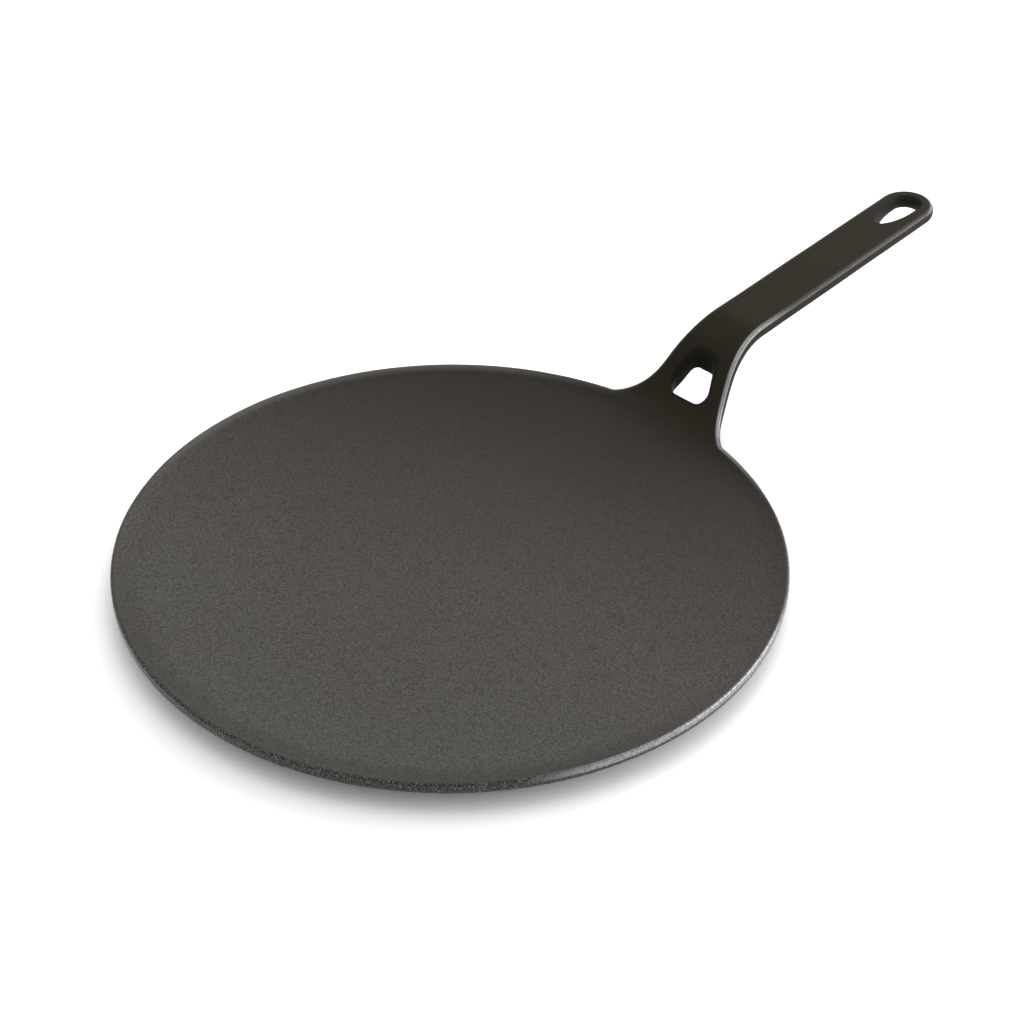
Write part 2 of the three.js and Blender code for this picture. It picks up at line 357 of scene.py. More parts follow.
class FlatSkin:
    """Points, faces and point attributes of the skin. The attributes tell the lifting tree how each point
    lies to its nearest edge."""

    UNITS = {"lift": 1, "inset": MM, "crest_round": MM, "foot_round": MM, "along": 1, "opening": 1}

    def __init__(self):
        self.points = []
        self.faces = []
        self.values = {name: [] for name in self.UNITS}
        self.count = 0

    def add(self, points, **values):
        """Adds points with a value for every attribute, and returns the number of the first."""
        first = self.count
        self.points.append(points)
        for name, store in self.values.items():
            store.append(np.broadcast_to(np.asarray(values[name], float), len(points)))
        self.count += len(points)
        return first

    def mesh(self):
        mesh = bpy.data.meshes.new("casting")
        plan = np.vstack(self.points) * MM
        mesh.from_pydata(np.column_stack([plan, np.zeros(len(plan))]).tolist(), [], self.faces)
        for name, unit in self.UNITS.items():
            attribute = mesh.attributes.new(name, "FLOAT", "POINT")
            values = np.concatenate(self.values[name]) * unit
            attribute.data.foreach_set("value", values.astype(np.float32))
        return mesh


def border_depths(rounding, border):
    """Distances of the rings from their outline: close over the rounding, then wider apart."""
    turns = [k * math.pi / 2 / ROUNDING_STEPS for k in range(ROUNDING_STEPS + 1)]
    depths = [rounding * (1 - math.cos(turn)) for turn in turns]
    for k in range(1, BORDER_STEPS + 1):
        depths.append(rounding + (border - rounding) * (k / BORDER_STEPS) ** BORDER_GROWTH)
    return depths


def add_border(skin, outline):
    """Rings from an outline inwards on both sheets, and the wall between the sheets. Returns the last ring
    in plan and the number of its first point on each sheet."""
    points = outline.points
    tangent = np.roll(points, -1, axis=0) - np.roll(points, 1, axis=0)
    tangent /= np.hypot(tangent[:, 0], tangent[:, 1])[:, None]
    inward = np.column_stack([-tangent[:, 1], tangent[:, 0]])
    slant = np.einsum("ij,ij->i", points, tangent) / np.hypot(points[:, 0], points[:, 1])
    here = np.arange(len(points))
    after = (here + 1) % len(points)
    shared = {"crest_round": outline.crest, "foot_round": outline.foot,
              "along": slant, "opening": outline.opening}
    sheets = []
    for lift, rounding in ((1.0, outline.crest), (0.0, outline.foot)):
        rings = []
        for depth in border_depths(rounding, outline.border):
            rings.append(skin.add(points + inward * depth[:, None], lift=lift, inset=depth, **shared))
        for a, b in zip(rings, rings[1:]):
            strip = np.column_stack([a + here, a + after, b + after, b + here])
            skin.faces.extend((strip if lift else strip[:, ::-1]).tolist())
        sheets.append(rings)
    upper, lower = sheets
    wall = [upper[0]]
    for k in range(1, WALL_STEPS):
        wall.append(skin.add(points, lift=1 - k / WALL_STEPS, inset=0.0, **shared))
    wall.append(lower[0])
    for a, b in zip(wall, wall[1:]):
        skin.faces.extend(np.column_stack([a + here, b + here, b + after, a + after]).tolist())
    return points + inward * outline.border[:, None], upper[-1], lower[-1]


def plan_triangles(plan, ties, outer, holes):
    """Triangles between the plan's points, anticlockwise, without those that lie in an opening."""
    flat, _, triangles, source, _, _ = delaunay_2d_cdt(
        [Vector(p) for p in plan], ties, [], 0, PLAN_TOLERANCE, True)
    flat = np.array([tuple(p) for p in flat])
    triangles = np.array(triangles)
    centre = flat[triangles].mean(axis=1)
    keep = inside(outer, centre)
    for hole in holes:
        keep &= ~inside(hole, centre)
    a, b, c = (flat[triangles[:, i]] for i in range(3))
    turn = (b - a)[:, 0] * (c - a)[:, 1] - (b - a)[:, 1] * (c - a)[:, 0]
    triangles[turn < 0] = triangles[turn < 0][:, ::-1]
    origin = np.array([s[0] for s in source])
    return origin[triangles[keep]]


def add_filling(skin, borders):
    """Both sheets inside the borders, from one triangulated plan."""
    outer, *holes = [ring for ring, _, _ in borders]
    filling = filling_points(outer, holes)
    inland = {"inset": FAR_FROM_EDGE, "crest_round": 1.0, "foot_round": 1.0, "along": 0.0, "opening": 0.0}
    upper_first = skin.add(filling, lift=1.0, **inland)
    lower_first = skin.add(filling, lift=0.0, **inland)
    plan, ties, upper_numbers, lower_numbers = [], [], [], []
    for ring, upper, lower in borders:
        first = len(plan)
        count = len(ring)
        plan.extend(ring)
        ties += [(first + i, first + (i + 1) % count) for i in range(count)]
        upper_numbers += range(upper, upper + count)
        lower_numbers += range(lower, lower + count)
    plan.extend(filling)
    upper_numbers += range(upper_first, upper_first + len(filling))
    lower_numbers += range(lower_first, lower_first + len(filling))
    triangles = plan_triangles(plan, ties, outer, holes)
    skin.faces.extend(np.array(upper_numbers)[triangles].tolist())
    skin.faces.extend(np.array(lower_numbers)[triangles][:, ::-1].tolist())


def casting_sheet():
    """The whole casting's skin, closed and still flat."""
    skin = FlatSkin()
    outlines = (casting_outline(), window_outline(), eye_outline())
    add_filling(skin, [add_border(skin, outline) for outline in outlines])
    return skin.mesh()


# Nodes

class Nodes:
    """Shorthand for adding and wiring nodes in one tree."""

    def __init__(self, tree):
        self.tree = tree

    def add(self, kind, **settings):
        node = self.tree.nodes.new(kind)
        for name, value in settings.items():
            setattr(node, name, value)
        return node

    def feed(self, socket, value):
        if isinstance(value, bpy.types.NodeSocket):
            self.tree.links.new(value, socket)
        else:
            socket.default_value = value

    def math(self, operation, *values):
        node = self.add("ShaderNodeMath", operation=operation)
        for socket, value in zip(node.inputs, values):
            self.feed(socket, value)
        return node.outputs[0]

    def times(self, first, *others):
        for other in others:
            first = self.math("MULTIPLY", first, other)
        return first

    def rest_of(self, share):
        return self.math("SUBTRACT", 1.0, share)

    def held_to_share(self, value):
        return self.math("MINIMUM", self.math("MAXIMUM", value, 0.0), 1.0)

    def vector(self, operation, *values):
        node = self.add("ShaderNodeVectorMath", operation=operation)
        for socket, value in zip(node.inputs, values):
            self.feed(socket, value)
        return node.outputs["Value" if operation in ("LENGTH", "DOT_PRODUCT") else "Vector"]

    def group(self, tree, **values):
        kind = "GeometryNodeGroup" if self.tree.type == "GEOMETRY" else "ShaderNodeGroup"
        node = self.add(kind, node_tree=tree)
        for name, value in values.items():
            self.feed(node.inputs[name.replace("_", " ")], value)
        return node.outputs

    def noise(self, inputs, **settings):
        node = self.add("ShaderNodeTexNoise", **settings)
        for name, value in inputs.items():
            self.feed(node.inputs[name], value)
        return node.outputs[0]

    def ramp(self, value, band):
        """Rises smoothly from 0 to 1 over a band."""
        node = self.add("ShaderNodeMapRange", interpolation_type="SMOOTHSTEP")
        self.feed(node.inputs["Value"], value)
        low, high = band
        node.inputs["From Min"].default_value = low
        node.inputs["From Max"].default_value = high
        return node.outputs[0]

    def fade(self, value, band):
        return self.rest_of(self.ramp(value, band))

    def mix(self, share, first, second):
        """Colour between two colours."""
        node = self.add("ShaderNodeMix", data_type="RGBA")
        self.feed(node.inputs[0], share)
        self.feed(node.inputs[6], first)
        self.feed(node.inputs[7], second)
        return node.outputs[2]

    def blend(self, share, first, second):
        """Number between two numbers."""
        node = self.add("ShaderNodeMix", data_type="FLOAT")
        self.feed(node.inputs[0], share)
        self.feed(node.inputs[2], first)
        self.feed(node.inputs[3], second)
        return node.outputs[0]


def new_tree(name, kind, inputs, outputs):
    tree = bpy.data.node_groups.new(name, kind)
    for title, socket, value in inputs:
        made = tree.interface.new_socket(title, in_out="INPUT", socket_type=socket)
        if value is not None:
            made.default_value = value
    for title, socket in outputs:
        tree.interface.new_socket(title, in_out="OUTPUT", socket_type=socket)
    nodes = Nodes(tree)
    return tree, nodes, nodes.add("NodeGroupInput").outputs, nodes.add("NodeGroupOutput").inputs


# Geometry Nodes: the flat skin is lifted to the casting's profiles.

UPPER_RUNS = ("Floor Radius", "Lip Start", "Plate Radius", "Ramp Start", "Ramp End", "Grip Start",
              "Handle End")
UPPER_SLOPES = (None, "Dish Slope", "Lip Slope", "Ramp Slope", "Ramp Slope", "Grip Slope", "Grip Slope")
UNDER_RUNS = ("Base Radius", "Plate Radius", "Under Ramp Start", "Under Ramp End", "Under Grip Start",
              "Handle End")
UNDER_SLOPES = (None, "Edge Slope", "Ramp Slope", "Ramp Slope", "Grip Slope", "Grip Slope")


def rise_over_run_tree():
    """Height gained over one run of a profile, whose sine of slope grows evenly from start to end."""
    tree, n, given, result = new_tree("rise over run", "GeometryNodeTree", [
        ("Reach", "NodeSocketFloat", 0.0),
        ("Start", "NodeSocketFloat", 0.0),
        ("End", "NodeSocketFloat", 1.0),
        ("Start Slope", "NodeSocketFloat", 0.0),
        ("End Slope", "NodeSocketFloat", 0.0),
    ], [("Rise", "NodeSocketFloat"), ("Turn", "NodeSocketFloat")])
    held = n.math("MINIMUM", n.math("MAXIMUM", given["Reach"], given["Start"]), given["End"])
    run = n.math("SUBTRACT", held, given["Start"])
    share = n.math("DIVIDE", run, n.math("SUBTRACT", given["End"], given["Start"]))
    first = n.math("SINE", given["Start Slope"])
    change = n.math("SUBTRACT", n.math("SINE", given["End Slope"]), first)
    turn = n.math("MULTIPLY", change, share)
    sine = n.math("ADD", first, turn)
    cosine = n.math("SQRT", n.rest_of(n.math("MULTIPLY", sine, sine)))
    over = n.math("ADD", n.math("COSINE", given["Start Slope"]), cosine)
    rise = n.math("DIVIDE", n.math("MULTIPLY", run, n.math("ADD", first, sine)), over)
    n.feed(result["Rise"], rise)
    n.feed(result["Turn"], turn)
    return tree


def edge_drop_tree():
    """How far a rounded edge falls below its face, by the distance from the outline."""
    tree, n, given, result = new_tree("edge drop", "GeometryNodeTree", [
        ("Inset", "NodeSocketFloat", 0.0),
        ("Rounding", "NodeSocketFloat", 0.001),
        ("Sine", "NodeSocketFloat", 0.0),
        ("Along", "NodeSocketFloat", 0.0),
    ], [("Drop", "NodeSocketFloat")])
    short = n.math("SUBTRACT", given["Rounding"], n.math("MINIMUM", given["Inset"], given["Rounding"]))
    squared = n.math("MULTIPLY", given["Rounding"], given["Rounding"])
    left = n.math("SQRT", n.math("SUBTRACT", squared, n.math("MULTIPLY", short, short)))
    sine_squared = n.math("MULTIPLY", given["Sine"], given["Sine"])
    slope_squared = n.math("DIVIDE", sine_squared, n.rest_of(sine_squared))
    tilt = n.math("MULTIPLY", slope_squared, n.math("MULTIPLY", given["Along"], given["Along"]))
    steep = n.math("SQRT", n.math("ADD", 1.0, tilt))
    n.feed(result["Drop"], n.math("MULTIPLY", n.math("SUBTRACT", given["Rounding"], left), steep))
    return tree


def profile_nodes(n, given, run_tree, names, slopes, height=None):
    """Height of a profile, from its height in the middle, and the sine of its slope at each point."""
    place = n.add("GeometryNodeInputPosition").outputs[0]
    reach = n.vector("LENGTH", n.vector("MULTIPLY", place, IN_PLAN))
    sine = None
    for i in range(len(names) - 1):
        values = {"Reach": reach, "Start": given[names[i]], "End": given[names[i + 1]],
                  "End_Slope": given[slopes[i + 1]]}
        if slopes[i]:
            values["Start_Slope"] = given[slopes[i]]
        gained = n.group(run_tree, **values)
        height = gained["Rise"] if height is None else n.math("ADD", height, gained["Rise"])
        sine = gained["Turn"] if sine is None else n.math("ADD", sine, gained["Turn"])
    return height, sine


def lifted_skin(n, given):
    """The skin raised to its two faces, with rounded edges."""
    def stored(name):
        node = n.add("GeometryNodeInputNamedAttribute", data_type="FLOAT")
        node.inputs["Name"].default_value = name
        return node.outputs["Attribute"]

    run_tree = rise_over_run_tree()
    drop_tree = edge_drop_tree()
    floor = given["Floor Thickness"]
    upper, upper_sine = profile_nodes(n, given, run_tree, UPPER_RUNS, UPPER_SLOPES, floor)
    under, under_sine = profile_nodes(n, given, run_tree, UNDER_RUNS, UNDER_SLOPES)
    inset = stored("inset")
    along = stored("along")
    crest = n.group(drop_tree, Inset=inset, Rounding=stored("crest_round"), Sine=upper_sine, Along=along)
    foot = n.group(drop_tree, Inset=inset, Rounding=stored("foot_round"), Sine=under_sine, Along=along)
    top = n.math("SUBTRACT", upper, crest["Drop"])
    bottom = n.math("ADD", under, foot["Drop"])
    height = n.math("ADD", bottom, n.math("MULTIPLY", n.math("SUBTRACT", top, bottom), stored("lift")))
    raised = n.add("ShaderNodeCombineXYZ")
    n.feed(raised.inputs["Z"], height)
    lifted = n.add("GeometryNodeSetPosition")
    n.feed(lifted.inputs["Geometry"], given["Skin"])
    n.feed(lifted.inputs["Offset"], raised.outputs[0])
    return lifted.outputs[0]


def uneven_skin(n, given, skin):
    """The skin pushed in and out a little, as a sand mould leaves it."""
    noise = n.noise({
        "W": given["Seed"],
        "Scale": n.math("DIVIDE", 1.0, given["Unevenness Size"]),
        "Detail": UNEVENNESS_DETAIL,
        "Roughness": UNEVENNESS_ROUGHNESS,
    }, noise_dimensions="4D")
    push = n.add("ShaderNodeVectorMath", operation="SCALE")
    n.feed(push.inputs[0], n.add("GeometryNodeInputNormal").outputs[0])
    swell = n.math("MULTIPLY", n.math("SUBTRACT", noise, 0.5), given["Unevenness Depth"])
    n.feed(push.inputs["Scale"], swell)
    uneven = n.add("GeometryNodeSetPosition")
    n.feed(uneven.inputs["Geometry"], skin)
    n.feed(uneven.inputs["Offset"], push.outputs[0])
    return uneven.outputs[0]


def casting_tree(sizes):
    """Lifts the flat skin, leaves a casting's unevenness on it and coats it."""
    inputs = [("Skin", "NodeSocketGeometry", None)]
    inputs += [(name, "NodeSocketFloat", value) for name, value in sizes.items()]
    inputs += [("Seed", "NodeSocketInt", UNEVENNESS_SEED), ("Iron", "NodeSocketMaterial", None)]
    outputs = [("Casting", "NodeSocketGeometry")]
    tree, n, given, result = new_tree("tawa casting", "GeometryNodeTree", inputs, outputs)
    shaded = n.add("GeometryNodeSetShadeSmooth")
    n.feed(shaded.inputs["Geometry"], uneven_skin(n, given, lifted_skin(n, given)))
    whole = n.add("GeometryNodeRealizeInstances")
    n.feed(whole.inputs["Geometry"], shaded.outputs[0])
    coated = n.add("GeometryNodeSetMaterial")
    n.feed(coated.inputs["Geometry"], whole.outputs[0])
    n.feed(coated.inputs["Material"], given["Iron"])
    n.feed(result["Casting"], coated.outputs[0])
    return tree


def casting_sizes():
    """Inputs of the lifting tree, by name, in metres and radians."""
    sizes = {
        "Floor Thickness": FLOOR_THICKNESS * MM,
        "Unevenness Depth": UNEVENNESS_DEPTH * MM,
        "Unevenness Size": UNEVENNESS_SIZE * MM,
    }
    profiles = ((UPPER_RUNS, UPPER_SLOPES, upper_profile()), (UNDER_RUNS, UNDER_SLOPES, under_profile()))
    for names, slopes, knots in profiles:
        for name, slope, knot in zip(names, slopes, knots):
            sizes.setdefault(name, knot.reach * MM)
            if slope:
                sizes.setdefault(slope, knot.slope)
    return sizes


def make_casting(iron):
    """The skin lifted and coated by the tree, then kept as a plain mesh."""
    casting = bpy.data.objects.new("tawa_casting", casting_sheet())
    bpy.context.scene.collection.objects.link(casting)
    sizes = casting_sizes()
    tree = casting_tree(sizes)
    modifier = casting.modifiers.new("lift", "NODES")
    modifier.node_group = tree
    values = {**sizes, "Seed": UNEVENNESS_SEED, "Iron": iron}
    for item in tree.interface.items_tree:
        if item.in_out == "INPUT" and item.name in values:
            modifier[item.identifier] = values[item.name]
    graph = bpy.context.evaluated_depsgraph_get()
    finished = bpy.data.meshes.new_from_object(casting.evaluated_get(graph), preserve_all_data_layers=True,
                                               depsgraph=graph)
    casting.modifiers.remove(modifier)
    casting.data = finished
    return casting


# Finish: a band is where a mask starts and ends, in metres; a way is a direction in the casting's frame.

PIT_SCALE = 0.6
PIT_DEPTH = 0.35
GRAIN_DETAIL = 3.0
FLECK_SCALE = 1.3
FLECK_DETAIL = 1.0
FLECK_LEVEL = 0.72
FLECK_SOFTNESS = 0.05
PATCH_DETAIL = 4.0
PATCH_ROUGHNESS = 0.6


def sand_grain_tree():
    """Fine grain that the moulding sand leaves: a height for the bump and a mask of stray flecks."""
    tree, n, given, result = new_tree("sand grain", "ShaderNodeTree", [
        ("Vector", "NodeSocketVector", None),
        ("Grain Size", "NodeSocketFloat", 0.001),
        ("Coarseness", "NodeSocketFloat", 0.5),
        ("Fleck Share", "NodeSocketFloat", 0.1),
    ], [("Height", "NodeSocketFloat"), ("Flecks", "NodeSocketFloat")])
    place = given["Vector"]
    scale = n.math("DIVIDE", 1.0, given["Grain Size"])
    fine = n.noise({
        "Vector": place,
        "Scale": scale,
        "Detail": GRAIN_DETAIL,
        "Roughness": given["Coarseness"],
    })
    pits = n.add("ShaderNodeTexVoronoi", feature="SMOOTH_F1")
    n.feed(pits.inputs["Vector"], place)
    n.feed(pits.inputs["Scale"], n.math("MULTIPLY", scale, PIT_SCALE))
    n.feed(result["Height"], n.math("ADD", fine, n.math("MULTIPLY", pits.outputs["Distance"], PIT_DEPTH)))
    spots = n.noise({
        "Vector": place,
        "Scale": n.math("MULTIPLY", scale, FLECK_SCALE),
        "Detail": FLECK_DETAIL,
    })
    level = n.math("SUBTRACT", FLECK_LEVEL, given["Fleck Share"])
    over = n.math("DIVIDE", n.math("SUBTRACT", spots, level), FLECK_SOFTNESS)
    n.feed(result["Flecks"], n.held_to_share(over))
    return tree


def seasoning_tree():
    """Cloudy patches that baked-on oil leaves, as a slow mask around one half."""
    tree, n, given, result = new_tree("seasoning patches", "ShaderNodeTree", [
        ("Vector", "NodeSocketVector", None),
        ("Patch Size", "NodeSocketFloat", 0.05),
        ("Contrast", "NodeSocketFloat", 1.0),
    ], [("Patches", "NodeSocketFloat")])
    cloud = n.noise({
        "Vector": given["Vector"],
        "Scale": n.math("DIVIDE", 1.0, given["Patch Size"]),
        "Detail": PATCH_DETAIL,
        "Roughness": PATCH_ROUGHNESS,
    })
    centred = n.math("MULTIPLY", n.math("SUBTRACT", cloud, 0.5), given["Contrast"])
    n.feed(result["Patches"], n.held_to_share(n.math("ADD", centred, 0.5)))
    return tree


HANDLE_START = (0.102, 0.132)
RIM_EDGE_BAND = (0.0004, 0.0012)
RIM_END_BAND = (0.1305, 0.133)
WARM_PATCHES = {"Patch_Size": 0.06, "Contrast": 1.6}


class IronNodes(Nodes):
    """Nodes of the iron's finish, with the fields and masks that its parts share."""

    def __init__(self, tree):
        super().__init__(tree)
        self.grain_tree = sand_grain_tree()
        self.patch_tree = seasoning_tree()
        self.place = self.add("ShaderNodeTexCoord").outputs["Object"]
        self.reach = self.vector("LENGTH", self.vector("MULTIPLY", self.place, IN_PLAN))
        self.along = self.toward((1.0, 0.0, 0.0))
        self.edge = self.stored("inset")
        self.lift = self.stored("lift")
        self.mouth = self.stored("opening")
        self.on_handle = self.ramp(self.along, HANDLE_START)
        self.on_rim = self.times(self.fade(self.edge, RIM_EDGE_BAND), self.fade(self.reach, RIM_END_BAND))
        self.warm = self.group(self.patch_tree, Vector=self.place, **WARM_PATCHES)["Patches"]

    def stored(self, name):
        return self.add("ShaderNodeAttribute", attribute_name=name).outputs["Fac"]

    def toward(self, way):
        """Distance from the plate's centre along a way."""
        return self.vector("DOT_PRODUCT", self.place, way)

    def grain(self, size, coarseness, flecks):
        return self.group(self.grain_tree, Vector=self.place, Grain_Size=size, Coarseness=coarseness,
                          Fleck_Share=flecks)


# Plate: brown and olive seasoning, with painted shade towards the handle and on the lip nearest the camera,
# and a painted highlight on the far lip

PLATE_BROWN = (0.0840, 0.0725, 0.0632, 1)
PLATE_WARM_BROWN = (0.0955, 0.0770, 0.0638, 1)
PLATE_OLIVE = (0.0835, 0.0875, 0.0780, 1)
PLATE_PIT = (0.028, 0.025, 0.021, 1)
PLATE_FLECK = (0.150, 0.138, 0.122, 1)
# Painted shade that darkens the plate towards the handle
PLATE_SHADE_NEAR_HANDLE = (0.0235, 0.0180, 0.0146, 1)
# Painted shade on the stretch of lip nearest the camera
NEAR_LIP_SHADE = (0.022, 0.019, 0.016, 1)
# Painted highlight on the far stretch of lip
FAR_LIP_HIGHLIGHT = (0.105, 0.108, 0.098, 1)

PLATE_PIT_BAND = (0.48, 0.82)  # of the grain's height
PLATE_PIT_SHARE = 0.80
PLATE_FLECK_SHARE = 0.4
OLIVE_OFFSET = (0.31, 0.17, 0.0)
OLIVE_PATCHES = {"Patch_Size": 0.085, "Contrast": 1.4}
OLIVE_LEAST = 0.3
OLIVE_WAY = (-0.987, -0.164, 0.0)
OLIVE_BAND = (-0.08, 0.12)
# Where the painted shade towards the handle fades out
PLATE_SHADE_WAY = (-0.925, -0.375, 0.0)
PLATE_SHADE_BAND = (-0.150, 0.055)
# Where the painted shade on the lip nearest the camera lies
NEAR_LIP_SHADE_WAY = (-0.92, -0.39, 0.0)
NEAR_LIP_SHADE_BAND = (0.02, 0.10)
NEAR_LIP_SHADE_REACH = (0.116, 0.1275)
NEAR_LIP_SHADE_SHARE = 0.45
# Where the painted highlight on the far lip lies
FAR_LIP_HIGHLIGHT_WAY = (0.555, 0.832, 0.0)
FAR_LIP_HIGHLIGHT_BAND = (0.05, 0.10)
FAR_LIP_HIGHLIGHT_REACH = (0.1248, 0.1294)
FAR_LIP_HIGHLIGHT_SHARE = 0.8
FAR_LIP_HIGHLIGHT_EDGE_BAND = (0.003, 0.006)
FAR_LIP_HIGHLIGHT_LEAST = 0.25  # left where the handle grows out and no edge is near


def plate_tone(n, grain):
    olive_place = n.vector("ADD", n.place, OLIVE_OFFSET)
    olive_patches = n.group(n.patch_tree, Vector=olive_place, **OLIVE_PATCHES)["Patches"]
    olive = n.times(n.blend(olive_patches, OLIVE_LEAST, 1.0), n.ramp(n.toward(OLIVE_WAY), OLIVE_BAND))
    pits = n.times(n.ramp(grain["Height"], PLATE_PIT_BAND), PLATE_PIT_SHARE)
    flecks = n.times(grain["Flecks"], PLATE_FLECK_SHARE)
    # Painted shade: the plate gets darker towards the handle
    unshaded = n.ramp(n.toward(PLATE_SHADE_WAY), PLATE_SHADE_BAND)
    # Painted shade on the lip nearest the camera
    near_lip_shade = n.times(n.ramp(n.reach, NEAR_LIP_SHADE_REACH), n.ramp(n.toward(NEAR_LIP_SHADE_WAY), NEAR_LIP_SHADE_BAND))
    # Painted highlight on the far lip
    far_lip_highlight = n.times(n.ramp(n.reach, FAR_LIP_HIGHLIGHT_REACH), n.ramp(n.toward(FAR_LIP_HIGHLIGHT_WAY), FAR_LIP_HIGHLIGHT_BAND))
    by_edge = n.blend(n.fade(n.edge, FAR_LIP_HIGHLIGHT_EDGE_BAND), FAR_LIP_HIGHLIGHT_LEAST, 1.0)
    tone = n.mix(n.warm, PLATE_BROWN, PLATE_WARM_BROWN)
    tone = n.mix(olive, tone, PLATE_OLIVE)
    tone = n.mix(pits, tone, PLATE_PIT)
    tone = n.mix(flecks, tone, PLATE_FLECK)
    tone = n.mix(unshaded, PLATE_SHADE_NEAR_HANDLE, tone)
    tone = n.mix(n.times(near_lip_shade, NEAR_LIP_SHADE_SHARE), tone, NEAR_LIP_SHADE)
    return n.mix(n.times(far_lip_highlight, by_edge, FAR_LIP_HIGHLIGHT_SHARE), tone, FAR_LIP_HIGHLIGHT)


# Handle: black and satin, with worn outer edges, a painted highlight on one flank of the neck, and rough
# mouths darkened by painted shade

HANDLE_BLACK = (0.0098, 0.0070, 0.0008, 1)
HANDLE_BROWN = (0.0130, 0.0090, 0.0018, 1)
WORN_EDGE = (0.075, 0.073, 0.070, 1)
# Painted highlight on one flank of the neck
NECK_FLANK_HIGHLIGHT = (0.30, 0.30, 0.31, 1)
# Painted shade in the rounded mouths of the window and the eye
MOUTH_SHADE = (0.007, 0.0055, 0.002, 1)

WORN_START = (0.0001, 0.0006)
WORN_END = (0.0010, 0.0026)
# Where the painted highlight on one flank of the neck lies
NECK_START = (0.0002, 0.0006)
NECK_END = (0.0014, 0.0024)
NECK_ALONG = (0.160, 0.195)
NECK_WAY = (0.0, -1.0, 0.0)
NECK_SIDE = (0.0, 0.006)
SIDE_BAND = (0.0001, 0.0008)
MOUTH_BAND = (0.0016, 0.0026)


class HandleWearAndLight(NamedTuple):
    """Masks of the handle's wear, of a painted highlight on one flank of the neck, of painted shade in the
    mouths, and of its rougher places.
    """
    worn: bpy.types.NodeSocket
    neck: bpy.types.NodeSocket
    mouth: bpy.types.NodeSocket
    rough: bpy.types.NodeSocket


def handle_wear_and_light(n):
    outer = n.times(n.on_handle, n.rest_of(n.mouth))
    worn = n.times(n.ramp(n.edge, WORN_START), n.fade(n.edge, WORN_END), outer)
    # Painted highlight on one flank of the neck
    neck_line = n.times(n.ramp(n.edge, NECK_START), n.fade(n.edge, NECK_END))
    neck = n.times(neck_line, n.fade(n.along, NECK_ALONG), n.ramp(n.toward(NECK_WAY), NECK_SIDE), outer)
    # Painted shade in the mouths; the same band makes them rough
    mouth = n.times(n.mouth, n.fade(n.edge, MOUTH_BAND))
    rough = n.math("MAXIMUM", n.times(n.on_handle, n.fade(n.edge, SIDE_BAND)), mouth)
    return HandleWearAndLight(worn, neck, mouth, rough)


def handle_tone(n, wear_and_light):
    tone = n.mix(n.warm, HANDLE_BLACK, HANDLE_BROWN)
    tone = n.mix(wear_and_light.worn, tone, WORN_EDGE)
    tone = n.mix(wear_and_light.neck, tone, NECK_FLANK_HIGHLIGHT)
    return n.mix(wear_and_light.mouth, tone, MOUTH_SHADE)


# Rim: black with pale flecks, and a painted highlight of bright, metallic grain on one arc of its upper edge

RIM_BLACK = (0.024, 0.022, 0.020, 1)
RIM_FLECK = (0.160, 0.155, 0.150, 1)
# Painted highlight: bright, metallic grain on one arc of the rim's edge
RIM_HIGHLIGHT_TONE = (0.46, 0.46, 0.475, 1)
RIM_HIGHLIGHT_PIT = (0.15, 0.15, 0.155, 1)

# Where the painted highlight on the rim lies
RIM_HIGHLIGHT_WAY = (-0.023, -1.0, 0.0)
RIM_HIGHLIGHT_BAND = (0.128, 0.143)
RIM_HIGHLIGHT_RAGGEDNESS = 0.03
RIM_HIGHLIGHT_LIFT = (0.15, 0.5)  # of the edge's height
RIM_PIT_BAND = (0.40, 0.85)  # of the grain's height


# Painted highlight along one arc of the rim's upper edge
def rim_highlight_arc(n, grain):
    ragged = n.math("ADD", n.toward(RIM_HIGHLIGHT_WAY), n.times(grain["Height"], RIM_HIGHLIGHT_RAGGEDNESS))
    return n.times(n.ramp(ragged, RIM_HIGHLIGHT_BAND), n.ramp(n.lift, RIM_HIGHLIGHT_LIFT))


def rim_tone(n, grain, rim_shine):
    shine_grain = n.mix(n.ramp(grain["Height"], RIM_PIT_BAND), RIM_HIGHLIGHT_TONE, RIM_HIGHLIGHT_PIT)
    return n.mix(rim_shine, n.mix(grain["Flecks"], RIM_BLACK, RIM_FLECK), shine_grain)


# The whole iron. A pair of values is for cool and warm patches, for unworn and worn places, or, on the rim,
# for places outside and inside its painted highlight.

IRON_SPECULAR = 0.19
PLATE_GRAIN = {"size": 0.0006, "coarseness": 0.6, "flecks": 0.10}
RIM_GRAIN = {"size": 0.0006, "coarseness": 0.7, "flecks": 0.17}
HANDLE_GRAIN = {"size": 0.0008, "coarseness": 0.5, "flecks": 0.02}
WORN_METAL = 0.32
# Metallic share of the neck's painted highlight
NECK_HIGHLIGHT_METAL = 0.7
RIM_METAL = (0.1, 0.85)
PLATE_ROUGHNESS = (0.64, 0.58)
HANDLE_ROUGHNESS = (0.32, 0.27)
SIDE_ROUGHNESS = 0.7
RIM_ROUGHNESS = 0.28
HANDLE_GRAIN_HEIGHT = (0.3, 1.0)
RIM_GRAIN_HEIGHT = 0.6
BUMP_STRENGTH = 0.9
BUMP_DISTANCE = 0.00025


